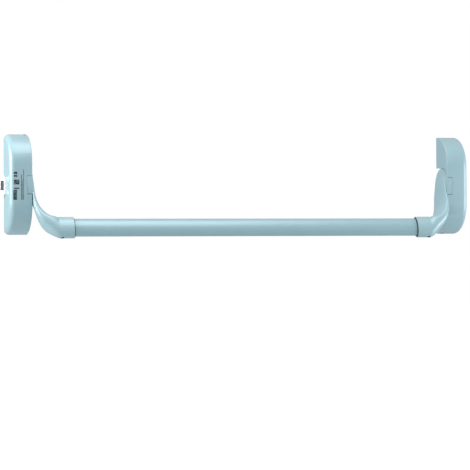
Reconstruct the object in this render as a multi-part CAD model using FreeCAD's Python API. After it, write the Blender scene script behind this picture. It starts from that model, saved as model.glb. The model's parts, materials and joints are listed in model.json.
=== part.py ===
# Panic exit bar: two surface housings on a door, a cranked arm pivoting in each, and an
# oval push tube between the arms. Pushing the tube turns the arms and draws the latch bolt in.
# Millimetres. The door face is the plane Y = 0, the room is towards -Y, +Z is up, and +X runs
# from the latch housing to the idle housing. Depth means the distance from the door face.

import FreeCAD, Part
import math
import os

V = FreeCAD.Vector

# ---- housings ----
housing_height = 190.0
housing_width = 43.0
housing_depth = 62.0
span = 825.0                    # between the inner sides of the two housings
cover_wall = 2.2
end_flat = 2.3                  # flat part of each end, next to the door
end_radius = 54.0
end_drop = 60.0                 # height of the curved part at each end
outer_edge_radius = 10.0
inner_edge_radius = 1.6
plate_thickness = 3.0
plate_gap = 0.3                 # between the base plate and the cover all round

# ---- pivot and hub ----
pivot_depth = 30.0
pivot_drop = 2.2                # below the middle of the housing
hub_radius = 35.4
hub_gap = 1.0                   # round the hub in its recess
hub_side_gap = 0.3              # between the hub and the recess floor
hub_thickness = 10.2
hub_proud = 0.8                 # hub disc beyond the housing's side
root_overlap = 0.2              # of the lever's root in the hub disc
hub_door_gap = 1.0              # between the hub and the door face over the whole travel
pin_radius = 6.0
bush_wall = 2.0
running_gap = 0.05
push_angle = 22.0
return_wire_active = 1.6
return_wire_idle = 1.5
return_pitch = 2.4
return_turns = 2
pocket_wall = 1.6               # between the bush and the spring's pocket
pocket_width = 5.0
pocket_depth = 7.2

# ---- push tube and arm sockets ----
tube_long = 36.0
tube_short = 20.0
tube_wall = 1.5
tube_tilt = 25.0                # long axis of the oval, from the vertical
socket_wall = 3.2
socket_depth = 26.0
socket_gap = 0.1
socket_reach = 73.0             # from the housing's inner side to the open end of the socket
neck_reach = 50.0               # where the lever has become the full oval of the socket
neck_length = 4.0
bar_depth = 84.0
bar_drop = 82.5                 # below the middle of the housing
seal_thickness = 1.4
seal_height = 1.7
grub_radius = 3.0
grub_length = 6.4
grub_inside = 4.0               # length of the screw inside the tube
grub_reach = 50.5

# ---- latch ----
bolt_height = 33.0
bolt_front = 22.0
bolt_back = 5.3
bolt_throw = 15.0
bolt_travel = 14.0
bolt_gap = 0.35
stop_gap = 0.5                  # left between the bolt and the bearing block when it is drawn in
bolt_nose = 4.5                 # thickness left at the tip of the bevel
insert_height = 19.0
insert_width = 8.0
insert_depth = 3.0
spring_radius = 2.5
spring_wire = 0.8
spring_pitch = 2.6
spring_bore_gap = 0.4
spring_offset = 12.2
spring_depth = 10.0
spring_seat = 12.0              # depth of the spring holes in the bolt

# ---- rocker that joins the hub to the latch ----
rocker_thickness = 5.0
rocker_hub_radius = 6.5
rocker_pin_radius = 3.0
rocker_bush_wall = 1.0
fork_wall = 1.3
fork_gap = 0.42
drive_pin_radius = 3.0
drive_pin_seat = 6.0
latch_pin_radius = 2.0
latch_pin_depth = 18.0
latch_pin_inset = 0.4           # from the inner end of the bolt
nose_radius = 2.3
nose_swing = 4.0                # of the nose to each side of its middle place
nose_gap = 0.5

# ---- fixings ----
fixing_spacing_x = 24.0
fixing_spacing_z = 150.0
fixing_radius = 2.75
cover_screw_radius = 2.0
cover_screw_head = 3.6
cover_screw_inset = 6.5         # from the housing's inner side
cover_screw_depth = 12.0
tab_width = 12.0
tab_depth = 20.0
block_width = 6.0
block_depth = 44.0
rivet_radius = 1.6

# ---- worked out from the sizes above ----
half_height = housing_height / 2
half_width = housing_width / 2
pivot_z = -pivot_drop
recess_radius = hub_radius + hub_gap
recess_depth = hub_thickness + hub_side_gap
floor_outer = half_width - recess_depth             # recess floor, side towards the hub
floor_inner = floor_outer - cover_wall              # recess floor, side towards the latch
block_right = floor_inner - 0.4
block_left = block_right - block_width
mid_x = half_width + span / 2
bush_radius = pin_radius + running_gap + bush_wall
pocket_inner = bush_radius + pocket_wall
pocket_outer = pocket_inner + pocket_width
sleeve_long = tube_long + 2 * (socket_gap + socket_wall)
sleeve_short = tube_short + 2 * (socket_gap + socket_wall)
bar_y = -bar_depth
bar_z = -bar_drop
lever_length = math.hypot(bar_depth - pivot_depth, bar_drop - pivot_drop)
lever_angle = math.degrees(math.atan2(bar_depth - pivot_depth, bar_drop - pivot_drop))
bolt_tip = -half_width - bolt_throw
bolt_end = block_left - stop_gap - bolt_travel
latch_pin_x = bolt_end - latch_pin_inset - latch_pin_radius
plate_left = -half_width + cover_wall + plate_gap
plate_right = half_width - cover_wall - plate_gap
rocker_x = latch_pin_x + bolt_travel / 2
rocker_depth = pivot_depth + drive_pin_radius + nose_gap + nose_radius + nose_swing
rocker_angle = 2 * math.degrees(math.atan2(bolt_travel / 2, rocker_depth - latch_pin_depth))
nose_reach = nose_swing / math.sin(math.radians(rocker_angle / 2))
drive_radius = 2 * nose_swing / math.sin(math.radians(push_angle))      # of the drive pin's circle
rocker_z = pivot_z + drive_radius - rocker_thickness / 2
bracket_low = rocker_z + rocker_thickness + 1.0


def box(x0, x1, d0, d1, z0, z1):
    """Box between two x, two depths and two heights."""
    return Part.makeBox(x1 - x0, d1 - d0, z1 - z0, V(x0, -d1, z0))


def rod_x(x0, x1, radius, depth, z):
    return Part.makeCylinder(radius, x1 - x0, V(x0, -depth, z), V(1, 0, 0))


def rod_y(x, d0, d1, z, radius):
    return Part.makeCylinder(radius, d1 - d0, V(x, -d0, z), V(0, -1, 0))


def rod_z(x, depth, z0, z1, radius):
    return Part.makeCylinder(radius, z1 - z0, V(x, -depth, z0), V(0, 0, 1))


def side_outline(x, inset):
    """Closed outline of the housing seen from the side: flat front, two arcs at each end."""
    reach = housing_depth - end_flat
    crown = (end_radius ** 2 - reach ** 2 - (end_drop - end_radius) ** 2) / (2 * (end_radius - reach))
    flat = half_height - end_drop
    end_centre = (end_flat, half_height - end_radius)
    crown_centre = (housing_depth - crown, flat)
    join = [(crown * a - end_radius * b) / (crown - end_radius) for a, b in zip(end_centre, crown_centre)]

    def on_arc(centre, radius, angle):
        return (centre[0] + (radius - inset) * math.cos(angle), centre[1] + (radius - inset) * math.sin(angle))

    join_angle = math.atan2(join[1] - crown_centre[1], join[0] - crown_centre[0])
    top = [
        on_arc(end_centre, end_radius, math.pi / 2),
        on_arc(end_centre, end_radius, (math.pi / 2 + join_angle) / 2),
        on_arc(end_centre, end_radius, join_angle),
        on_arc(crown_centre, crown, join_angle / 2),
        on_arc(crown_centre, crown, 0.0),
    ]
    up = [V(x, -d, z) for d, z in top]
    down = [V(x, -d, -z) for d, z in top]
    back_up = V(x, 0, half_height - inset)
    back_down = V(x, 0, inset - half_height)
    edges = [
        Part.LineSegment(back_up, up[0]),
        Part.Arc(up[0], up[1], up[2]),
        Part.Arc(up[2], up[3], up[4]),
        Part.LineSegment(up[4], down[4]),
        Part.Arc(down[4], down[3], down[2]),
        Part.Arc(down[2], down[1], down[0]),
        Part.LineSegment(down[0], back_down),
        Part.LineSegment(back_down, back_up),
    ]
    return Part.Wire([edge.toShape() for edge in edges])


def side_edges(shape, x):
    """Edges of a flat side at x, without the one that lies on the door face."""
    return [
        edge for edge in shape.Edges
        if abs(edge.BoundBox.XMin - x) < 1e-4 and abs(edge.BoundBox.XMax - x) < 1e-4
        and edge.BoundBox.YMin < -1e-4
    ]


def housing_body(inset, outer_radius, inner_radius):
    """Housing outline between its two sides, rounded along the front edges."""
    left = -half_width + inset
    body = Part.Face(side_outline(left, inset)).extrude(V(housing_width - 2 * inset, 0, 0))
    body = body.makeFillet(outer_radius, side_edges(body, left))
    if inner_radius:
        body = body.makeFillet(inner_radius, side_edges(body, -left))
    return body


def polar(radius, angle):
    """Point round the pivot: angle 0 is towards the room, 90 is up."""
    turn = math.radians(angle)
    return (pivot_depth + radius * math.cos(turn), pivot_z + radius * math.sin(turn))


def arc_slot(x0, x1, radius, half_slot, from_angle, to_angle):
    """Curved slot round the pivot."""
    middle = (from_angle + to_angle) / 2

    def point(r, angle):
        d, z = polar(r, angle)
        return V(x0, -d, z)

    def cap(angle, way):
        d, z = polar(radius, angle)
        turn = math.radians(angle + 90 * way)
        return V(x0, -(d + half_slot * math.cos(turn)), z + half_slot * math.sin(turn))

    edges = [
        Part.Arc(point(radius + half_slot, from_angle), point(radius + half_slot, middle),
                 point(radius + half_slot, to_angle)),
        Part.Arc(point(radius + half_slot, to_angle), cap(to_angle, 1), point(radius - half_slot, to_angle)),
        Part.Arc(point(radius - half_slot, to_angle), point(radius - half_slot, middle),
                 point(radius - half_slot, from_angle)),
        Part.Arc(point(radius - half_slot, from_angle), cap(from_angle, -1), point(radius + half_slot, from_angle)),
    ]
    return Part.Face(Part.Wire([edge.toShape() for edge in edges])).extrude(V(x1 - x0, 0, 0))


def cover_screw_place(up):
    return (half_width - cover_screw_inset, cover_screw_depth, up * half_height)


def end_tab_height():
    return half_height - cover_wall - plate_gap


def recess(floor, radius):
    """Round room for the hub, open towards the door so that the cover slides on from the front."""
    room = rod_x(floor, half_width + 1, radius, pivot_depth, pivot_z)
    return room.fuse(box(floor, half_width + 1, -1, pivot_depth, pivot_z - radius, pivot_z + radius))


def make_cover(active):
    """Die-cast shell with the round recess for the hub. Only the latch side has the bolt slot."""
    shell = housing_body(0.0, outer_edge_radius, inner_edge_radius)
    cavity = housing_body(cover_wall, outer_edge_radius - cover_wall, 0.0)
    shell = shell.cut(cavity.cut(recess(floor_inner, recess_radius + cover_wall)))
    shell = shell.cut(recess(floor_outer, recess_radius))
    shell = shell.cut(rod_x(floor_inner - 1, floor_outer + 1, bush_radius + 1.5, pivot_depth, pivot_z))
    if active:
        half_slot = drive_pin_radius + 0.8
        slot = arc_slot(floor_inner - 1, floor_outer + 1, drive_radius, half_slot, 90 - push_angle - 1, 91)
        shell = shell.cut(slot)
        half_bolt = bolt_height / 2 + bolt_gap
        shell = shell.cut(box(-half_width - 1, -half_width + cover_wall + 0.5, bolt_back - bolt_gap,
                              bolt_front + bolt_gap, pivot_z - half_bolt, pivot_z + half_bolt))
    up = 1 if active else -1
    x, depth, z = cover_screw_place(up)
    shell = shell.cut(rod_z(x, depth, min(z, z - up * 8), max(z, z - up * 8), cover_screw_radius + 0.2))
    shell = shell.cut(rod_z(x, depth, min(z + up, z - up * 1.9), max(z + up, z - up * 1.9), cover_screw_head + 0.2))
    return shell.removeSplitter()


def make_cover_screw(active):
    """Pan-headed screw with a cross slot, driven through the end of the cover into the plate's tab."""
    up = 1 if active else -1
    x, depth, z = cover_screw_place(1)
    seat = z - 1.9
    head = rod_z(x, depth, seat, seat + 1.4, cover_screw_head)
    shank = rod_z(x, depth, seat - 8.5, seat, cover_screw_radius)
    screw = head.fuse(shank).removeSplitter()
    for half_x, half_d in ((2.4, 0.4), (0.4, 2.4)):
        screw = screw.cut(box(x - half_x, x + half_x, depth - half_d, depth + half_d, seat + 0.6, seat + 2))
    return screw if up > 0 else screw.mirror(V(0, 0, 0), V(0, 0, 1))


def make_base_plate(active):
    """Plate that is screwed to the door. It has four fixing holes, and a tab at each end for the cover."""
    top = end_tab_height()
    plate = box(plate_left, plate_right, 0, plate_thickness, -top, top)
    for up in (-1, 1):
        low, high = sorted((up * top, up * (top - plate_thickness)))
        tab = box(plate_right - tab_width, plate_right, 0, tab_depth, low, high)
        plate = plate.fuse(tab)
    keep = recess_radius + cover_wall + plate_gap
    plate = plate.cut(box(block_right, half_width, -1, plate_thickness + 1, pivot_z - keep, pivot_z + keep))
    for sx in (-1, 1):
        for sz in (-1, 1):
            hole = rod_y(sx * fixing_spacing_x / 2, -1, plate_thickness + 1, sz * fixing_spacing_z / 2, fixing_radius)
            plate = plate.cut(hole)
    plate = plate.common(housing_body(cover_wall + plate_gap, outer_edge_radius - cover_wall - plate_gap, 0.0))
    x, depth, z = cover_screw_place(1 if active else -1)
    plate = plate.cut(rod_z(x, depth, min(z, 0), max(z, 0), cover_screw_radius))
    for x, z in rivet_places(active):
        plate = plate.cut(rod_y(x, -1, plate_thickness + 1, z, rivet_radius))
    for x, z in block_screw_places():
        plate = plate.cut(rod_y(x, -1, plate_thickness + 1, z, rivet_radius))
        plate = plate.cut(Part.makeCone(rivet_radius + 1.6, rivet_radius, 1.6, V(x, 0, z), V(0, -1, 0)))
    return plate.removeSplitter()


def block_screw_places():
    x = (block_left + block_right) / 2
    return [(x, pivot_z - 11), (x, pivot_z + 11)]


def rivet_places(active):
    if not active:
        return []
    beside = bolt_height / 2 + 4.8
    return [(rocker_x - 6.0, pivot_z + beside), (rocker_x - 6.0, pivot_z - beside),
            (rocker_x - 3.5, bracket_low + 9), (rocker_x + 5.5, bracket_low + 9)]


def make_bearing_block():
    """Solid block on the base plate that holds the pivot pin."""
    half = bolt_height / 2
    block = box(block_left, block_right, plate_thickness, block_depth, pivot_z - half, pivot_z + half)
    front = [e for e in block.Edges if abs(e.BoundBox.YMax + block_depth) < 1e-4 and e.BoundBox.XLength > 1]
    block = block.makeFillet(6.0, front)
    block = block.cut(rod_x(block_left - 1, block_right + 1, pin_radius, pivot_depth, pivot_z))
    for x, z in block_screw_places():
        block = block.cut(rod_y(x, plate_thickness - 1, plate_thickness + 7, z, rivet_radius))
    return block


def make_block_screws():
    screws = []
    for x, z in block_screw_places():
        head = Part.makeCone(rivet_radius + 1.6, rivet_radius, 1.6, V(x, 0, z), V(0, -1, 0))
        screws.append(head.fuse(rod_y(x, 1.6, plate_thickness + 6.5, z, rivet_radius)).removeSplitter())
    return screws


def make_pivot_pin():
    """Pin pressed in the block. The hub turns on its free end."""
    pin = rod_x(block_left, half_width - 1.0, pin_radius, pivot_depth, pivot_z)
    ends = [e for e in pin.Edges if abs(e.BoundBox.XMin - e.BoundBox.XMax) < 1e-4]
    return pin.makeChamfer(0.8, ends)


def make_hub_bush():
    sleeve = rod_x(floor_outer + hub_side_gap, half_width, bush_radius, pivot_depth, pivot_z)
    return sleeve.cut(rod_x(floor_outer - 1, half_width + 1, pin_radius + running_gap, pivot_depth, pivot_z))


def coil(radius, wire, pitch, height, place, direction):
    """Coil spring from a round wire."""
    helix = Part.makeHelix(pitch, height, radius)
    ring = Part.Wire(Part.makeCircle(wire / 2, V(radius, 0, 0), V(0, 1, 0)))
    spring = Part.Wire(helix).makePipeShell([ring], True, True)
    turn = FreeCAD.Rotation(V(0, 0, 1), direction)
    spring.Placement = FreeCAD.Placement(place, turn)
    return spring


def make_return_spring(active):
    """Spring in the ring-shaped pocket of the hub, of a slightly lighter wire on the idle side."""
    wire = return_wire_active if active else return_wire_idle
    start = floor_outer + hub_side_gap + wire / 2 + 0.3
    middle = (pocket_inner + pocket_outer) / 2
    height = return_turns * return_pitch
    return coil(middle, wire, return_pitch, height, V(start, -pivot_depth, pivot_z), V(1, 0, 0))


def rounded_oval(centre, long_way, short_way, half_long, half_short, fullness):
    """Closed smooth wire between an ellipse and a rounded rectangle."""
    points = []
    count = 24
    for step in range(count):
        turn = 2 * math.pi * step / count
        along = math.copysign(abs(math.cos(turn)) ** (2 / fullness), math.cos(turn))
        across = math.copysign(abs(math.sin(turn)) ** (2 / fullness), math.sin(turn))
        points.append(centre + long_way * (along * half_long) + short_way * (across * half_short))
    curve = Part.BSplineCurve()
    curve.interpolate(Points=points, PeriodicFlag=True)
    return Part.Wire(curve.toShape())


def oval(centre, long_way, short_way, half_long, half_short):
    """Closed oval wire with its half sizes along two directions."""
    circle = Part.Wire(Part.makeCircle(1.0))
    normal = long_way.cross(short_way)
    matrix = FreeCAD.Matrix(
        long_way.x * half_long, short_way.x * half_short, normal.x, centre.x,
        long_way.y * half_long, short_way.y * half_short, normal.y, centre.y,
        long_way.z * half_long, short_way.z * half_short, normal.z, centre.z,
        0, 0, 0, 1)
    return circle.transformGeometry(matrix)


def lever_point(inward, along):
    """Point at a distance inward from the housing's side and along the lever from the pivot."""
    turn = math.radians(lever_angle)
    return V(half_width + inward, -(pivot_depth + along * math.sin(turn)), pivot_z - along * math.cos(turn))


# Sections of the arm: distance inward, distance along the lever as a share of its length,
# direction of travel in degrees (0 is down the lever, 90 is towards the other housing),
# half thickness, half width across the lever, offset and roll of the section towards its
# front edge, share of the tube's tilt taken up.
arm_sections = [
    (-2, -0.34, 0, 2.6, 12, 0, 2, 0),
    (-2, -0.28, 0, 4.4, 21, 0, 3, 0),
    (-1.8, -0.16, 0, 6, 29, 0, 4, 0),
    (2.1, 0, 3, 5.1, 29.3, -3.2, 4, 0),
    (4.6, 0.16, 7, 4.3, 27.9, -5.4, 7, 0),
    (6.6, 0.3, 10, 4.1, 25.9, -6.1, 11, 0),
    (8.7, 0.44, 15, 5, 24.5, -5.5, 16, 0),
    (11.8, 0.58, 21, 6.9, 23.7, -4.3, 20, 0.1),
    (16.4, 0.71, 30, 9.5, 22.5, -3.4, 20, 0.3),
    (23.4, 0.83, 42, 12.5, 20.6, -2.7, 13, 0.6),
    (33.5, 0.92, 59, 15.6, 18.2, -2.1, -1, 0.85),
]
arm_fullness = 2.4              # 2 is an ellipse, more is squarer


def sleeve_axes():
    """Long and short directions of the oval tube."""
    turn = math.radians(tube_tilt)
    return V(0, -math.sin(turn), -math.cos(turn)), V(0, -math.cos(turn), math.sin(turn))


def make_arm(active):
    """Cranked arm: a domed root on the hub disc, a flat-sided lever and an oval socket, in one casting."""
    wires = []
    for inward, share, heading, thick, wide, offset, roll, turned in arm_sections:
        tilt = math.radians(lever_angle + (tube_tilt - lever_angle) * turned)
        down = V(0, -math.sin(tilt), -math.cos(tilt))
        level = V(0, -math.cos(tilt), math.sin(tilt))
        head, turn = math.radians(heading), math.radians(roll)
        outward = down * math.sin(head) - V(1, 0, 0) * math.cos(head)
        across = level * math.cos(turn) + outward * math.sin(turn)
        facing = outward * math.cos(turn) - level * math.sin(turn)
        centre = lever_point(inward, share * lever_length) + level * offset
        wires.append(rounded_oval(centre, facing, across, thick, wide, arm_fullness))
    long_way, short_way = sleeve_axes()
    for reach in (neck_reach - neck_length, neck_reach):
        centre = V(half_width + reach, bar_y, bar_z)
        wires.append(rounded_oval(centre, long_way, short_way, sleeve_long / 2, sleeve_short / 2, 2))
    socket = Part.Face(wires[-1]).extrude(V(socket_reach - neck_reach, 0, 0))
    lever = Part.makeLoft(wires, True, False).fuse(socket)
    beside_housing = Part.makeBox(span, span, span, V(half_width + hub_proud - root_overlap, -span / 2, -span / 2))
    lever = lever.common(beside_housing)
    for behind in behind_door():
        lever = lever.cut(behind)
    arm = make_hub_disc().fuse(lever)
    arm = arm.cut(make_drive_pin()) if active else arm
    arm = arm.cut(rod_x(floor_outer - 1, half_width, bush_radius, pivot_depth, pivot_z))
    socket_end = half_width + socket_reach
    start = V(socket_end - socket_depth, bar_y, bar_z)
    bore = Part.Face(oval(start, long_way, short_way, tube_long / 2 + socket_gap, tube_short / 2 + socket_gap))
    arm = arm.cut(bore.extrude(V(socket_depth + 1, 0, 0)))
    return arm.cut(grub_rod(grub_radius, -grub_inside, sleeve_long)).removeSplitter()


def behind_door():
    """Two solids that the arm is kept clear of: the door at rest, and where the door is when pressed."""
    wide = 6 * hub_radius
    door = Part.makeBox(4 * hub_radius, wide, wide, V(floor_outer - 1, -hub_door_gap, -wide / 2))
    pressed = door.copy()
    pressed.rotate(V(0, -pivot_depth, pivot_z), V(1, 0, 0), -push_angle)
    return [door, pressed]


def grub_rod(radius, start, length):
    """Rod along the grub screw's line, from the tube's surface outwards."""
    long_way, short_way = sleeve_axes()
    centre = V(half_width + grub_reach, bar_y, bar_z) + long_way * (tube_long / 2 + start)
    return Part.makeCylinder(radius, length, centre, long_way)


def make_hub_disc():
    """Hub disc, cut flat flush with the housing's front and clear of the door over the whole travel."""
    start = floor_outer + hub_side_gap
    disc = rod_x(start, half_width + hub_proud, hub_radius, pivot_depth, pivot_z)
    rims = [e for e in disc.Edges if abs(e.BoundBox.XMin - half_width - hub_proud) < 1e-4]
    disc = disc.makeFillet(1.0, rims)
    wide = 4 * hub_radius
    room_side = Part.makeBox(hub_thickness + 4, wide, wide, V(start - 1, -housing_depth - wide, -wide / 2))
    disc = disc.cut(room_side)
    for behind in behind_door():
        disc = disc.cut(behind)
    pocket = rod_x(start - 1, start + pocket_depth, pocket_outer, pivot_depth, pivot_z)
    pocket = pocket.cut(rod_x(start - 2, start + pocket_depth + 1, pocket_inner, pivot_depth, pivot_z))
    return disc.cut(pocket)


def make_push_tube():
    """Oval tube that bottoms in both sockets."""
    long_way, short_way = sleeve_axes()
    start = half_width + socket_reach - socket_depth
    length = 2 * (mid_x - start)
    centre = V(start, bar_y, bar_z)
    outer = Part.Face(oval(centre, long_way, short_way, tube_long / 2, tube_short / 2)).extrude(V(length, 0, 0))
    bore_centre = V(start - 1, bar_y, bar_z)
    bore = Part.Face(oval(bore_centre, long_way, short_way, tube_long / 2 - tube_wall, tube_short / 2 - tube_wall))
    tube = outer.cut(bore.extrude(V(length + 2, 0, 0)))
    screw_hole = grub_rod(grub_radius, -2 * tube_wall, 3 * tube_wall)
    return tube.cut(screw_hole).cut(mirrored(screw_hole))


def make_tube_seal():
    """Dark ring round the tube at the mouth of the socket."""
    long_way, short_way = sleeve_axes()
    centre = V(half_width + socket_reach, bar_y, bar_z)
    outer = Part.Face(oval(centre, long_way, short_way, tube_long / 2 + seal_height, tube_short / 2 + seal_height))
    inner_centre = centre - V(1, 0, 0)
    inner = Part.Face(oval(inner_centre, long_way, short_way, tube_long / 2, tube_short / 2))
    return outer.extrude(V(seal_thickness, 0, 0)).cut(inner.extrude(V(seal_thickness + 2, 0, 0)))


def make_grub_screw():
    """Set screw in the underside of the socket, with a hexagon recess."""
    screw = grub_rod(grub_radius, -grub_inside, grub_length)
    long_way, short_way = sleeve_axes()
    centre = V(half_width + grub_reach, bar_y, bar_z) + long_way * (tube_long / 2 + grub_length - grub_inside - 2.5)
    along = V(1, 0, 0)
    corners = []
    for step in range(7):
        turn = math.radians(60 * step)
        corners.append(centre + along * (1.7 * math.cos(turn)) + short_way * (1.7 * math.sin(turn)))
    recess = Part.Face(Part.makePolygon(corners)).extrude(long_way * 4)
    return screw.cut(recess)


def make_drive_pin():
    """Pin pressed in the hub that reaches through the cover's curved slot to the rocker."""
    depth, z = polar(drive_radius, 90)
    return rod_x(rocker_x + 11.4, floor_outer + hub_side_gap + drive_pin_seat, drive_pin_radius, depth, z)


def latch_outline(front_x, nose_x, back_x):
    """Plan of the bolt: bevelled on the room side so that it rides over the strike."""
    points = [(back_x, bolt_back), (nose_x, bolt_back), (nose_x, bolt_back + bolt_nose),
              (front_x, bolt_front), (back_x, bolt_front)]
    return [V(x, -d, 0) for x, d in points]


def make_latch_bolt():
    half = bolt_height / 2
    points = latch_outline(-half_width - 1.5, bolt_tip, bolt_end)
    face = Part.Face(Part.makePolygon([p + V(0, 0, pivot_z - half) for p in points + points[:1]]))
    bolt = face.extrude(V(0, 0, bolt_height))
    rims = [e for e in bolt.Edges if e.BoundBox.XMax < bolt_tip + 0.1]
    bolt = bolt.makeFillet(0.8, rims)
    for side in (-1, 1):
        bore = rod_x(bolt_end - spring_seat, bolt_end + 1, spring_radius + spring_wire / 2 + spring_bore_gap,
                     spring_depth, pivot_z + side * spring_offset)
        bolt = bolt.cut(bore)
    bolt = bolt.cut(latch_insert_body())
    return bolt.cut(make_latch_pin())


def latch_insert_body():
    """Slab sunk in the bevel of the bolt."""
    start = V(-half_width - 1.5, -bolt_front, 0)
    end = V(bolt_tip, -(bolt_back + bolt_nose), 0)
    slope = (end - start).normalize()
    inward = V(-slope.y, slope.x, 0)
    if inward.y < 0:
        inward = inward * -1
    near = start + slope * 2.5
    corners = [near - inward * 0.3, near + slope * insert_width - inward * 0.3,
               near + slope * insert_width + inward * insert_depth, near + inward * insert_depth]
    low = V(0, 0, pivot_z - insert_height / 2)
    face = Part.Face(Part.makePolygon([c + low for c in corners + corners[:1]]))
    return face.extrude(V(0, 0, insert_height))


def make_latch_insert():
    """Black wear piece, flush with the bevel."""
    return latch_insert_body().common(box(bolt_tip, 0, 0, bolt_front, pivot_z - bolt_height, pivot_z + bolt_height))


def make_latch_pin():
    half = bolt_height / 2
    return rod_z(latch_pin_x, latch_pin_depth, pivot_z + half - 6, rocker_z + rocker_thickness, latch_pin_radius)


def make_latch_springs():
    springs = []
    for side in (-1, 1):
        start_x = bolt_end - spring_seat + spring_wire / 2
        start = V(start_x, -spring_depth, pivot_z + side * spring_offset)
        length = block_left - spring_wire / 2 - start_x
        springs.append(coil(spring_radius, spring_wire, spring_pitch, length, start, V(1, 0, 0)))
    return springs


def make_latch_guide():
    """Bent steel channel that the bolt slides in, riveted to the base plate."""
    half = bolt_height / 2 + bolt_gap
    left, right, sheet = plate_left + 0.5, rocker_x - 1.0, 1.2
    low, high = pivot_z - half, pivot_z + half
    guide = box(left, right, plate_thickness, bolt_back - bolt_gap, low - 7.2, high + 7.2)
    front = bolt_front + bolt_gap
    guide = guide.fuse(box(left, right, plate_thickness, front + sheet, low - sheet, low))
    guide = guide.fuse(box(left, right, plate_thickness, front + sheet, high, high + sheet))
    guide = guide.fuse(box(left, right, front, front + sheet, low - sheet, high + sheet))
    slot_half = latch_pin_radius + 0.5
    guide = guide.cut(box(latch_pin_x - slot_half, right + 1, latch_pin_depth - slot_half,
                          latch_pin_depth + slot_half, high - 1, high + sheet + 1))
    for x, z in rivet_places(True)[:2]:
        guide = guide.cut(rod_y(x, -1, 10, z, rivet_radius))
    return guide.removeSplitter()


def make_rocker_bracket():
    """Shelf over the rocker that carries its pin."""
    left, right = rocker_x - 6.5, rocker_x + 8.5
    shelf = box(left, right, plate_thickness, rocker_depth + 6, bracket_low, bracket_low + 2.5)
    foot = box(left, right, plate_thickness, plate_thickness + 2.5, bracket_low, bracket_low + 14)
    bracket = shelf.fuse(foot)
    for x, z in rivet_places(True)[2:]:
        bracket = bracket.cut(rod_y(x, -1, 12, z, rivet_radius))
    return bracket.cut(rod_z(rocker_x, rocker_depth, bracket_low - 1, bracket_low + 4, rocker_pin_radius)).removeSplitter()


def make_rivets():
    rivets = []
    places = rivet_places(True)
    guide_face = bolt_back - bolt_gap
    for place, face in zip(places, (guide_face, guide_face, plate_thickness + 2.5, plate_thickness + 2.5)):
        shank = rod_y(place[0], 0.4, face, place[1], rivet_radius)
        head = rod_y(place[0], face, face + 1.2, place[1], rivet_radius + 1.2)
        rivets.append(shank.fuse(head).removeSplitter())
    return rivets


def make_rocker_pin():
    low = rocker_z - 3.0
    pin = rod_z(rocker_x, rocker_depth, low, bracket_low + 2.5, rocker_pin_radius)
    head = rod_z(rocker_x, rocker_depth, bracket_low + 2.5, bracket_low + 4.0, rocker_pin_radius + 1.5)
    groove = rod_z(rocker_x, rocker_depth, rocker_z - 1.6, rocker_z - 0.8, rocker_pin_radius + 1)
    groove = groove.cut(rod_z(rocker_x, rocker_depth, rocker_z - 2, rocker_z, rocker_pin_radius - 0.6))
    return pin.fuse(head).removeSplitter().cut(groove)


def make_rocker_clip():
    """Retaining clip in the groove of the rocker pin, open on one side."""
    clip = rod_z(rocker_x, rocker_depth, rocker_z - 1.6, rocker_z - 0.8, rocker_pin_radius + 2.4)
    clip = clip.cut(rod_z(rocker_x, rocker_depth, rocker_z - 2, rocker_z, rocker_pin_radius - 0.6))
    mouth = rocker_pin_radius - 0.8
    return clip.cut(box(rocker_x - mouth, rocker_x + mouth, rocker_depth, rocker_depth + 9, rocker_z - 2, rocker_z))


def rocker_points():
    """Places of the fork and the nose, as (x, depth)."""
    turn = math.radians(rocker_angle / 2)
    fork = (latch_pin_x, latch_pin_depth)
    nose = (rocker_x + nose_reach * math.cos(turn), rocker_depth - nose_reach * math.sin(turn))
    return fork, nose


def make_rocker():
    """Bell crank: the hub's drive pin pushes its nose and its fork draws the bolt in."""
    fork, nose = rocker_points()
    low, high = rocker_z, rocker_z + rocker_thickness

    def link(start, end, half):
        way = V(end[0] - start[0], -(end[1] - start[1]), 0)
        length = way.Length
        bar = Part.makeBox(length, 2 * half, high - low, V(0, -half, 0))
        bar.Placement = FreeCAD.Placement(V(start[0], -start[1], low), FreeCAD.Rotation(V(1, 0, 0), way))
        return bar

    centre = (rocker_x, rocker_depth)
    plate = rod_z(rocker_x, rocker_depth, low, high, rocker_hub_radius)
    plate = plate.fuse(link(centre, nose, 1.8)).fuse(rod_z(nose[0], nose[1], low, high, nose_radius))
    way = V(fork[0] - centre[0], -(fork[1] - centre[1]), 0)
    tip_length = way.Length + latch_pin_radius
    tip = V(centre[0], -centre[1], 0) + way.normalize() * tip_length
    plate = plate.fuse(link(centre, (tip.x, -tip.y), latch_pin_radius + fork_gap + fork_wall))
    slot = link((fork[0] - way.x * 4, fork[1] + way.y * 4), (tip.x + way.x, -tip.y - way.y), latch_pin_radius + fork_gap)
    slot.translate(V(0, 0, -1))
    plate = plate.cut(slot).cut(slot.translated(V(0, 0, 2)))
    bore = rod_z(rocker_x, rocker_depth, low - 1, high + 1, rocker_pin_radius + running_gap + rocker_bush_wall)
    return plate.cut(bore).removeSplitter()


def make_rocker_bush():
    low, high = rocker_z, rocker_z + rocker_thickness
    sleeve = rod_z(rocker_x, rocker_depth, low, high, rocker_pin_radius + running_gap + rocker_bush_wall)
    return sleeve.cut(rod_z(rocker_x, rocker_depth, low - 1, high + 1, rocker_pin_radius + running_gap))


def mirrored(shape):
    """The same piece or pieces on the idle side."""
    if isinstance(shape, list):
        return [mirrored(piece) for piece in shape]
    return shape.mirror(V(mid_x, 0, 0), V(1, 0, 0))


def export(name, shape):
    pieces = shape if isinstance(shape, list) else [shape]
    solids = [solid for piece in pieces for solid in piece.Solids]
    for solid in solids:
        assert solid.isValid() and solid.Volume > 0, name
    whole = solids[0] if len(solids) == 1 else Part.makeCompound(solids)
    whole.exportStep("parts/" + name + ".step")
    print(name, len(solids), "solid(s)", round(sum(s.Volume for s in solids)), "mm3")


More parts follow.
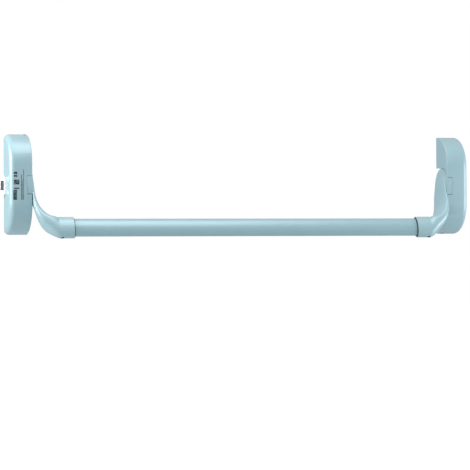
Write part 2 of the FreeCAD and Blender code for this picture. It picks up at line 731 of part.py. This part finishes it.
# Makers of the pieces. Those told which side they are for differ a little between the sides.
sided = {
    "cover": make_cover, "base_plate": make_base_plate, "cover_screw": make_cover_screw,
    "return_spring": make_return_spring, "arm": make_arm,
}
alike = {
    "bearing_block": make_bearing_block, "block_screws": make_block_screws, "pivot_pin": make_pivot_pin,
    "hub_bush": make_hub_bush, "tube_seal": make_tube_seal, "grub_screw": make_grub_screw,
}
single = {
    "drive_pin": make_drive_pin, "latch_bolt": make_latch_bolt, "latch_insert": make_latch_insert,
    "latch_pin": make_latch_pin, "latch_springs": make_latch_springs, "latch_guide": make_latch_guide,
    "rocker_bracket": make_rocker_bracket, "bracket_rivets": make_rivets, "rocker_pin": make_rocker_pin,
    "rocker_clip": make_rocker_clip, "rocker": make_rocker, "rocker_bush": make_rocker_bush,
    "push_tube": make_push_tube,
}


def main():
    os.makedirs("parts", exist_ok=True)
    for name, make in sided.items():
        export("active_" + name, make(True))
        export("idle_" + name, mirrored(make(False)))
    for name, make in alike.items():
        shape = make()
        export("active_" + name, shape)
        export("idle_" + name, mirrored(shape))
    for name, make in single.items():
        export(name, make())


main()
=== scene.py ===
import json
import math

import bpy
from mathutils import Matrix, Vector


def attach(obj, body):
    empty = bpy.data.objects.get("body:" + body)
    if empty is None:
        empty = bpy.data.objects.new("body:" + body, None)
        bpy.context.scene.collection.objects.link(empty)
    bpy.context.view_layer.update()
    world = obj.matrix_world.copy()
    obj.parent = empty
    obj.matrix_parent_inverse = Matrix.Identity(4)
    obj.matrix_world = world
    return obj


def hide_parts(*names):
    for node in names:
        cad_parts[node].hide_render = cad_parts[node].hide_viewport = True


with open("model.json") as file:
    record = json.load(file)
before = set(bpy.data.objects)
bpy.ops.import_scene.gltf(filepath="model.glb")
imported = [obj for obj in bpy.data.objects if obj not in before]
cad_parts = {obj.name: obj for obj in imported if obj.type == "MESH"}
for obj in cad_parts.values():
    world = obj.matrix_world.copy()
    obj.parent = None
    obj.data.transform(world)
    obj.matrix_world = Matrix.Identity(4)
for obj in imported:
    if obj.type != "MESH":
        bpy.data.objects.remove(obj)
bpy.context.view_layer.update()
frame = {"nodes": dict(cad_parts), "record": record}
nodes = frame["nodes"]


mmPerMetre = 1000.0


def mm(value):
    return value / mmPerMetre


# effects that several finishes share

def newGroup(name, inputs, outputs):
    group = bpy.data.node_groups.new(name, "ShaderNodeTree")
    for socketName, kind, default in inputs:
        socket = group.interface.new_socket(socketName, in_out="INPUT", socket_type=kind)
        socket.default_value = default
    for socketName, kind in outputs:
        group.interface.new_socket(socketName, in_out="OUTPUT", socket_type=kind)
    return group, group.nodes.new("NodeGroupInput"), group.nodes.new("NodeGroupOutput")


def addNode(tree, kind, links=None, **values):
    node = tree.nodes.new(kind)
    for key, value in values.items():
        setattr(node, key, value)
    for key, source in (links or {}).items():
        if hasattr(source, "links"):
            tree.links.new(source, node.inputs[key])
        else:
            node.inputs[key].default_value = source
    return node


def placeGroup(tree, group, links):
    return addNode(tree, "ShaderNodeGroup", links, node_tree=group)


def maths(tree, operation, first, second, third=0.0):
    links = {0: first, 1: second, 2: third}
    return addNode(tree, "ShaderNodeMath", links, operation=operation).outputs[0]


grainShape = {
    "slowScale": 22.0,  # drifts of tone in a metre
    "slowDetail": 3.0,
    "fineDetail": 2.0,
    "fineRoughness": 0.55,
    "fineShare": 0.35,  # of the fine grain in the tone, beside the slow drift
    "middle": 0.5,  # a noise's mean
}


def makeGrain():  # fine orange peel of powder coat or cast skin, with slow drift of tone and gloss
    group, given, result = newGroup("coatGrain", [
        ("Vector", "NodeSocketVector", (0, 0, 0)),
        ("Color", "NodeSocketColor", (0.5, 0.5, 0.5, 1)),
        ("Tone Drift", "NodeSocketFloat", 0.05),
        ("Roughness", "NodeSocketFloat", 0.4),
        ("Gloss Drift", "NodeSocketFloat", 0.08),
        ("Grain Size", "NodeSocketFloat", 0.8),
    ], [("Color", "NodeSocketColor"), ("Roughness", "NodeSocketFloat"), ("Height", "NodeSocketFloat")])
    shape = grainShape
    perMetre = maths(group, "DIVIDE", mmPerMetre, given.outputs["Grain Size"])
    slow = addNode(group, "ShaderNodeTexNoise", {
        "Vector": given.outputs["Vector"],
        "Scale": shape["slowScale"],
        "Detail": shape["slowDetail"],
    })
    fine = addNode(group, "ShaderNodeTexNoise", {
        "Vector": given.outputs["Vector"],
        "Scale": perMetre,
        "Detail": shape["fineDetail"],
        "Roughness": shape["fineRoughness"],
    })
    centred = maths(group, "SUBTRACT", slow.outputs["Fac"], shape["middle"])
    speck = maths(group, "SUBTRACT", fine.outputs["Fac"], shape["middle"])
    both = maths(group, "MULTIPLY_ADD", speck, shape["fineShare"], centred)
    gain = maths(group, "MULTIPLY_ADD", both, given.outputs["Tone Drift"], 1.0)
    rough = maths(group, "MULTIPLY_ADD", both, given.outputs["Gloss Drift"], given.outputs["Roughness"])
    tone = addNode(group, "ShaderNodeVectorMath", {0: given.outputs["Color"], "Scale": gain},
                   operation="SCALE")
    group.links.new(tone.outputs[0], result.inputs["Color"])
    group.links.new(rough, result.inputs["Roughness"])
    group.links.new(fine.outputs["Fac"], result.inputs["Height"])
    return group


dustShape = {
    "startSlope": 0.35,  # upward part of the normal at which dust begins to lie
    "detail": 4.0,
}


def makeDust():  # pale film that settles on surfaces facing up
    group, given, result = newGroup("restingDust", [
        ("Vector", "NodeSocketVector", (0, 0, 0)),
        ("Amount", "NodeSocketFloat", 0.2),
        ("Patch Size", "NodeSocketFloat", 15.0),
    ], [("Mask", "NodeSocketFloat")])
    surface = addNode(group, "ShaderNodeNewGeometry")
    axes = addNode(group, "ShaderNodeSeparateXYZ", {"Vector": surface.outputs["Normal"]})
    upward = addNode(group, "ShaderNodeMapRange", {
        "Value": axes.outputs["Z"],
        "From Min": dustShape["startSlope"],
        "From Max": 1.0,
    })
    patches = addNode(group, "ShaderNodeTexNoise", {
        "Vector": given.outputs["Vector"],
        "Scale": maths(group, "DIVIDE", mmPerMetre, given.outputs["Patch Size"]),
        "Detail": dustShape["detail"],
    })
    shared = maths(group, "MULTIPLY", upward.outputs[0], patches.outputs["Fac"])
    mask = maths(group, "MULTIPLY", shared, given.outputs["Amount"])
    group.links.new(mask, result.inputs["Mask"])
    return group


lineShape = {
    "detail": 3.0,
    "roughness": 0.6,
}


def makeBrushed():  # fine lines along one axis, from drawing, rolling or grinding
    group, given, result = newGroup("brushedLines", [
        ("Vector", "NodeSocketVector", (0, 0, 0)),
        ("Stretch", "NodeSocketVector", (1, 1, 1)),
        ("Line Size", "NodeSocketFloat", 0.3),
    ], [("Mask", "NodeSocketFloat")])
    stretched = addNode(group, "ShaderNodeVectorMath", {
        0: given.outputs["Vector"],
        1: given.outputs["Stretch"],
    }, operation="MULTIPLY")
    lines = addNode(group, "ShaderNodeTexNoise", {
        "Vector": stretched.outputs[0],
        "Scale": maths(group, "DIVIDE", mmPerMetre, given.outputs["Line Size"]),
        "Detail": lineShape["detail"],
        "Roughness": lineShape["roughness"],
    })
    group.links.new(lines.outputs["Fac"], result.inputs["Mask"])
    return group


inkEdge = {
    "outside": -0.1,  # mm past the block's side where the ink starts
    "inside": 0.2,  # mm within it where the ink is full
}


def makeInkBlock():  # one plain printed block, seen square on along Y
    group, given, result = newGroup("inkBlock", [
        ("Vector", "NodeSocketVector", (0, 0, 0)),
        ("Centre", "NodeSocketVector", (0, 0, 0)),
        ("Half Size", "NodeSocketVector", (0.001, 1, 0.001)),
    ], [("Mask", "NodeSocketFloat")])
    offset = addNode(group, "ShaderNodeVectorMath", {
        0: given.outputs["Vector"],
        1: given.outputs["Centre"],
    }, operation="SUBTRACT")
    distance = addNode(group, "ShaderNodeVectorMath", {0: offset.outputs[0]}, operation="ABSOLUTE")
    margin = addNode(group, "ShaderNodeVectorMath", {
        0: given.outputs["Half Size"],
        1: distance.outputs[0],
    }, operation="SUBTRACT")
    axes = addNode(group, "ShaderNodeSeparateXYZ", {"Vector": margin.outputs[0]})
    inside = addNode(group, "ShaderNodeMapRange", {
        "Value": maths(group, "MINIMUM", axes.outputs["X"], axes.outputs["Z"]),
        "From Min": mm(inkEdge["outside"]),
        "From Max": mm(inkEdge["inside"]),
    })
    group.links.new(inside.outputs[0], result.inputs["Mask"])
    return group


coatGrain = makeGrain()
restingDust = makeDust()
brushedLines = makeBrushed()
inkBlock = makeInkBlock()
print("shared effects built")


def newMaterial(name, look):
    material = bpy.data.materials.new(name)
    material.use_nodes = True
    tree = material.node_tree
    shader = tree.nodes["Principled BSDF"]
    place = addNode(tree, "ShaderNodeTexCoord").outputs["Object"]
    shader.inputs["Base Color"].default_value = (*look["colour"], 1)
    shader.inputs["Metallic"].default_value = look["metallic"]
    shader.inputs["Specular IOR Level"].default_value = look["specular"]
    shader.inputs["Coat Weight"].default_value = look["coat"]
    shader.inputs["Coat Roughness"].default_value = look["coatRoughness"]
    return material, tree, shader, place


def addBump(tree, shader, height, strength, distance):
    bump = addNode(tree, "ShaderNodeBump", {"Height": height, "Strength": strength, "Distance": distance})
    tree.links.new(bump.outputs["Normal"], shader.inputs["Normal"])


def mixColours(tree, mask, under, over):
    mix = addNode(tree, "ShaderNodeMix", data_type="RGBA")  # its colour sockets are 6 and 7, and 2 out
    for socket, value in ((mix.inputs[0], mask), (mix.inputs[6], under), (mix.inputs[7], over)):
        if hasattr(value, "links"):
            tree.links.new(value, socket)
        else:
            socket.default_value = value
    return mix.outputs[2]


paintedShadeSamples = 8


def placeGrain(tree, place, look):
    return placeGroup(tree, coatGrain, {
        "Vector": place,
        "Color": (*look["colour"], 1),
        "Tone Drift": look["toneDrift"],
        "Roughness": look["roughness"],
        "Gloss Drift": look["glossDrift"],
        "Grain Size": look["grainSize"],
    })


def grainyFinish(name, look):  # paint, plastic, rubber and cast metal
    material, tree, shader, place = newMaterial(name, look)
    grain = placeGrain(tree, place, look)
    dust = placeGroup(tree, restingDust, {
        "Vector": place,
        "Amount": look["dust"],
        "Patch Size": look["dustPatch"],
    })
    colour = mixColours(tree, dust.outputs["Mask"], grain.outputs["Color"], (*look["dustColour"], 1))
    # painted shade: ambient occlusion darkens the base colour in creases, recesses and gaps between parts,
    # where shade falls
    paintedShadeAO = addNode(tree, "ShaderNodeAmbientOcclusion", {"Distance": mm(look["paintedShadeReach"])},
                      samples=paintedShadeSamples)
    unoccludedShare = addNode(tree, "ShaderNodeMapRange", {
        "Value": paintedShadeAO.outputs["AO"],
        "From Min": look["paintedShadeStart"],
        "From Max": look["paintedShadeEnd"],
    })
    paintedShadeColour = tuple(part * look["paintedShadeTone"] for part in look["colour"])
    colour = mixColours(tree, unoccludedShare.outputs[0], (*paintedShadeColour, 1), colour)
    tree.links.new(colour, shader.inputs["Base Color"])
    tree.links.new(grain.outputs["Roughness"], shader.inputs["Roughness"])
    addBump(tree, shader, grain.outputs["Height"], look["bump"], mm(look["bumpDepth"]))
    return material, tree, shader, place, colour


def brushedFinish(name, look):  # ground, rolled or drawn steel
    material, tree, shader, place = newMaterial(name, look)
    lines = placeGroup(tree, brushedLines, {
        "Vector": place,
        "Stretch": look["stretch"],
        "Line Size": look["lineSize"],
    })
    grain = placeGrain(tree, place, look)
    darker = tuple(part * look["lineTone"] for part in look["colour"])
    colour = mixColours(tree, lines.outputs["Mask"], grain.outputs["Color"], (*darker, 1))
    rough = maths(tree, "MULTIPLY_ADD", lines.outputs["Mask"], look["lineGloss"],
                  grain.outputs["Roughness"])
    tree.links.new(colour, shader.inputs["Base Color"])
    tree.links.new(rough, shader.inputs["Roughness"])
    addBump(tree, shader, lines.outputs["Mask"], look["bump"], mm(look["bumpDepth"]))
    return material


paintLook = dict(colour=(0.345, 0.525, 0.58), metallic=0.15, roughness=0.42, glossDrift=0.1, toneDrift=0.07,
                 grainSize=0.7, bump=0.25, bumpDepth=0.03, specular=0.55, coat=0.25, coatRoughness=0.25,
                 dust=0.25, dustPatch=18, dustColour=(0.62, 0.67, 0.69),
                 # the last four values set the painted shade in creases: its reach in mm, the occlusion
                 # range, and the share of colour left
                 paintedShadeReach=5, paintedShadeStart=0.2, paintedShadeEnd=0.6, paintedShadeTone=0.12)
tubeLook = dict(paintLook, colour=(0.31, 0.49, 0.545), roughness=0.36, grainSize=0.6, coat=0.35)
castLook = dict(paintLook, colour=(0.30, 0.31, 0.33), metallic=0.8, roughness=0.5, grainSize=1.2, bump=0.5,
                bumpDepth=0.06, coat=0.0, dust=0.1)
nylonLook = dict(paintLook, colour=(0.012, 0.012, 0.014), metallic=0.0, roughness=0.5, toneDrift=0.3,
                 coat=0.0, dust=0.12)
rubberLook = dict(nylonLook, colour=(0.016, 0.017, 0.019), roughness=0.72, grainSize=0.5, dust=0.2)

steelLook = dict(colour=(0.56, 0.57, 0.59), metallic=1.0, specular=0.5, coat=0.0, coatRoughness=0.2,
                 roughness=0.3, glossDrift=0.12, toneDrift=0.08,
                 grainSize=1.5, stretch=(1, 18, 18), lineSize=1.2, lineTone=0.8, lineGloss=0.1, bump=0.2,
                 bumpDepth=0.02)
zincLook = dict(steelLook, colour=(0.6, 0.61, 0.64), roughness=0.38, toneDrift=0.2, grainSize=4)
screwLook = dict(steelLook, colour=(0.2, 0.21, 0.22), roughness=0.35)
blackenedLook = dict(steelLook, colour=(0.03, 0.03, 0.033), metallic=0.7, roughness=0.42)
brightLook = dict(steelLook, colour=(0.7, 0.71, 0.72), roughness=0.2, stretch=(18, 1, 18))
boltLook = dict(steelLook, colour=(0.86, 0.89, 0.89), metallic=0.35, roughness=0.3, stretch=(1, 14, 14),
                lineTone=0.93)
springLook = dict(steelLook, colour=(0.25, 0.25, 0.27), roughness=0.35)
bronzeLook = dict(steelLook, colour=(0.5, 0.31, 0.12), roughness=0.4, toneDrift=0.25)

finishes = {
    "silver_paint": grainyFinish("silverPaint", paintLook)[0],
    "silver_tube": grainyFinish("tubePaint", tubeLook)[0],
    "cast_zinc": grainyFinish("castZinc", castLook)[0],
    "black_nylon": grainyFinish("blackNylon", nylonLook)[0],
    "black_rubber": grainyFinish("sealRubber", rubberLook)[0],
    "zinc_steel": brushedFinish("zincedSteel", zincLook),
    "screw_steel": brushedFinish("screwSteel", screwLook),
    "dark_steel": brushedFinish("blackenedSteel", blackenedLook),
    "bright_steel": brushedFinish("brightSteel", brightLook),
    "bolt_steel": brushedFinish("boltSteel", boltLook),
    "spring_steel": brushedFinish("springSteel", springLook),
    "bronze": brushedFinish("bronze", bronzeLook),
}

printLook = {
    "ink": (0.028, 0.032, 0.036),
    "wearSize": 2.2,  # mm across one fleck of worn ink
    "wearDetail": 2.0,
    "wearStart": 0.36,  # noise below which the ink is worn
    "wearEnd": 0.5,
    "wornInk": 0.55,  # share of the ink left in a worn fleck
    "frontStart": -0.15,  # Y of the normal where a face begins to take print
    "frontEnd": -0.3,
    "blocks": [  # x, z, half width, half height, all in mm on the latch housing's face
        (-11.5, -20.8, 3.6, 9.4),
        (-8.5, -8.6, 5.0, 1.6),
        (-8.8, 3.2, 5.4, 4.6),
        (-10.6, 14.6, 3.4, 1.9),
        (-10.6, 20.2, 3.4, 2.4),
        (0.4, -6.0, 0.75, 24.0),
        (2.6, -10.5, 0.55, 19.5),
        (4.6, -1.5, 0.55, 28.5),
    ],
}


def makePrintedPaint():  # the latch housing's paint, with plain blocks of print that stand for nothing
    material, tree, shader, place, colour = grainyFinish("printedPaint", paintLook)
    mask = None
    for x, z, halfWide, halfHigh in printLook["blocks"]:
        block = placeGroup(tree, inkBlock, {
            "Vector": place,
            "Centre": (mm(x), 0, mm(z)),
            "Half Size": (mm(halfWide), 1, mm(halfHigh)),
        })
        if mask is None:
            mask = block.outputs["Mask"]
        else:
            mask = maths(tree, "MAXIMUM", mask, block.outputs["Mask"])
    surface = addNode(tree, "ShaderNodeNewGeometry")
    axes = addNode(tree, "ShaderNodeSeparateXYZ", {"Vector": surface.outputs["Normal"]})
    front = addNode(tree, "ShaderNodeMapRange", {
        "Value": axes.outputs["Y"],
        "From Min": printLook["frontStart"],
        "From Max": printLook["frontEnd"],
    })
    flecks = addNode(tree, "ShaderNodeTexNoise", {
        "Vector": place,
        "Scale": mmPerMetre / printLook["wearSize"],
        "Detail": printLook["wearDetail"],
    })
    held = addNode(tree, "ShaderNodeMapRange", {
        "Value": flecks.outputs["Fac"],
        "From Min": printLook["wearStart"],
        "From Max": printLook["wearEnd"],
        "To Min": printLook["wornInk"],
    })
    facing = maths(tree, "MULTIPLY", mask, front.outputs[0])
    printed = maths(tree, "MULTIPLY", facing, held.outputs[0])
    inked = mixColours(tree, printed, colour, (*printLook["ink"], 1))
    tree.links.new(inked, shader.inputs["Base Color"])
    return material


printedPaint = makePrintedPaint()
print("finishes mixed:", len(finishes) + 1)


# every node takes its finish from its slot

slotOf = {entry["node"]: entry["material_slot"] for entry in frame["record"]["subparts"]}


def dress(piece, material):
    piece.data.materials.clear()
    piece.data.materials.append(material)


for name, node in nodes.items():
    dress(node, finishes[slotOf[name]])
print("nodes dressed:", len(nodes))


# smooth skins stand for the six solids that show most

skinLook = {
    "merge": 0.002,  # mm, closes the loose triangles
    "smoothAngle": 28,  # degrees, sharper edges stay sharp
}
skins = {
    "active_cover": "active_cover_shell",
    "idle_cover": "idle_cover_shell",
    "active_arm": "active_arm_casting",
    "idle_arm": "idle_arm_casting",
    "push_tube": "push_tube_section",
    "latch_bolt": "latch_bolt_block",
}


def makeSkin(nodeName, pieceName):
    bpy.ops.object.select_all(action="DESELECT")
    piece = nodes[nodeName].copy()
    piece.data = nodes[nodeName].data.copy()
    piece.name = pieceName
    for key in list(piece.keys()):
        del piece[key]
    piece.parent = None
    piece.matrix_world = Matrix.Identity(4)
    bpy.context.scene.collection.objects.link(piece)
    piece.select_set(True)
    bpy.context.view_layer.objects.active = piece
    bpy.ops.object.mode_set(mode="EDIT")
    bpy.ops.mesh.select_all(action="SELECT")
    bpy.ops.mesh.remove_doubles(threshold=mm(skinLook["merge"]))
    bpy.ops.mesh.customdata_custom_splitnormals_clear()
    bpy.ops.object.mode_set(mode="OBJECT")
    bpy.ops.object.shade_smooth_by_angle(angle=math.radians(skinLook["smoothAngle"]))
    return piece


bodyOf = {}
for bodyName, members in frame["record"]["behaviour"]["bodies"].items():
    for member in members:
        bodyOf[member] = bodyName

for nodeName, pieceName in skins.items():
    piece = makeSkin(nodeName, pieceName)
    dress(piece, printedPaint if nodeName == "active_cover" else finishes[slotOf[nodeName]])
    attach(piece, bodyOf[nodeName])
    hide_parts(nodeName)
print("skins laid:", len(skins))


# floor, light and camera

stageLook = {
    "floorDrop": 420,  # mm below the housings' middle
    "reach": 9000,  # mm from the middle to each side
    "colour": (0.62, 0.63, 0.64),
    "toneDrift": 0.02,
    "roughness": 0.8,
    "glossDrift": 0.05,
    "grainSize": 4.0,
    "glow": 0.8,  # lifts the floor to the backdrop's white
}


def makeStage():
    bpy.ops.object.select_all(action="DESELECT")
    bpy.ops.mesh.primitive_plane_add(size=mm(2 * stageLook["reach"]),
                                     location=(0, 0, -mm(stageLook["floorDrop"])))
    floor = bpy.context.object
    floor.name = "paleFloor"
    material = bpy.data.materials.new("paleFloor")
    material.use_nodes = True
    tree = material.node_tree
    shader = tree.nodes["Principled BSDF"]
    place = addNode(tree, "ShaderNodeTexCoord").outputs["Object"]
    grain = placeGrain(tree, place, stageLook)
    tree.links.new(grain.outputs["Color"], shader.inputs["Base Color"])
    tree.links.new(grain.outputs["Roughness"], shader.inputs["Roughness"])
    path = addNode(tree, "ShaderNodeLightPath")
    lift = maths(tree, "MULTIPLY", path.outputs["Is Camera Ray"], stageLook["glow"])
    shader.inputs["Emission Color"].default_value = (1, 1, 1, 1)
    tree.links.new(lift, shader.inputs["Emission Strength"])
    dress(floor, material)


makeStage()

lightLook = {
    "world": (0.96, 0.985, 1.0),
    "worldStrength": 0.5,
    "backdrop": (1.0, 1.0, 1.0),
    "lamps": {  # place in metres, watts, width in metres
        "leftWindow": ((-0.75, -0.1, 0.25), 8.5, 0.5),
        "topBox": ((0.35, -0.7, 1.6), 20, 1.4),
        "rightFill": ((1.9, -0.55, -0.1), 9, 0.7),
    },
    "aim": (0.43, -0.05, 0.0),
}


def makeLights():
    world = bpy.data.worlds.new("studio")
    bpy.context.scene.world = world
    world.use_nodes = True
    tree = world.node_tree
    glow = tree.nodes["Background"]
    glow.inputs["Color"].default_value = (*lightLook["world"], 1)
    glow.inputs["Strength"].default_value = lightLook["worldStrength"]
    seen = addNode(tree, "ShaderNodeBackground", {"Color": (*lightLook["backdrop"], 1)})
    path = addNode(tree, "ShaderNodeLightPath")
    either = addNode(tree, "ShaderNodeMixShader", {
        0: path.outputs["Is Camera Ray"],
        1: glow.outputs[0],
        2: seen.outputs[0],
    })
    tree.links.new(either.outputs[0], tree.nodes["World Output"].inputs["Surface"])
    for name, (place, watts, width) in lightLook["lamps"].items():
        bpy.ops.object.light_add(type="AREA", location=place)
        lamp = bpy.context.object
        lamp.name = name
        lamp.data.energy = watts
        lamp.data.size = width
        aim = Vector(lightLook["aim"]) - Vector(place)
        lamp.rotation_euler = aim.to_track_quat("-Z", "Y").to_euler()


makeLights()

cameraLook = {
    "place": (-0.9292, -4.8385, -0.1356),  # metres
    "yaw": 0.274218,  # radians
    "pitch": 0.0078126,
    "roll": -0.0049374,
    "lens": 198.86,  # mm
    "sensor": 36,
    "farEnd": 60,  # metres
}


def makeCamera():
    yaw, pitch, roll = cameraLook["yaw"], cameraLook["pitch"], cameraLook["roll"]
    ahead = Vector((math.sin(yaw) * math.cos(pitch), math.cos(yaw) * math.cos(pitch), math.sin(pitch)))
    right = Vector((math.cos(yaw), -math.sin(yaw), 0))
    up = right.cross(ahead)
    side = right * math.cos(roll) + up * math.sin(roll)
    top = up * math.cos(roll) - right * math.sin(roll)
    bpy.ops.object.camera_add()
    camera = bpy.context.object
    camera.name = "studioCamera"
    camera.data.lens = cameraLook["lens"]
    camera.data.sensor_width = cameraLook["sensor"]
    camera.data.clip_end = cameraLook["farEnd"]
    turned = Matrix((side, top, -ahead)).transposed().to_4x4()
    camera.matrix_world = Matrix.Translation(Vector(cameraLook["place"])) @ turned
    bpy.context.scene.camera = camera


makeCamera()
bpy.context.scene.view_settings.view_transform = "Standard"
print("stage, lights and camera set")
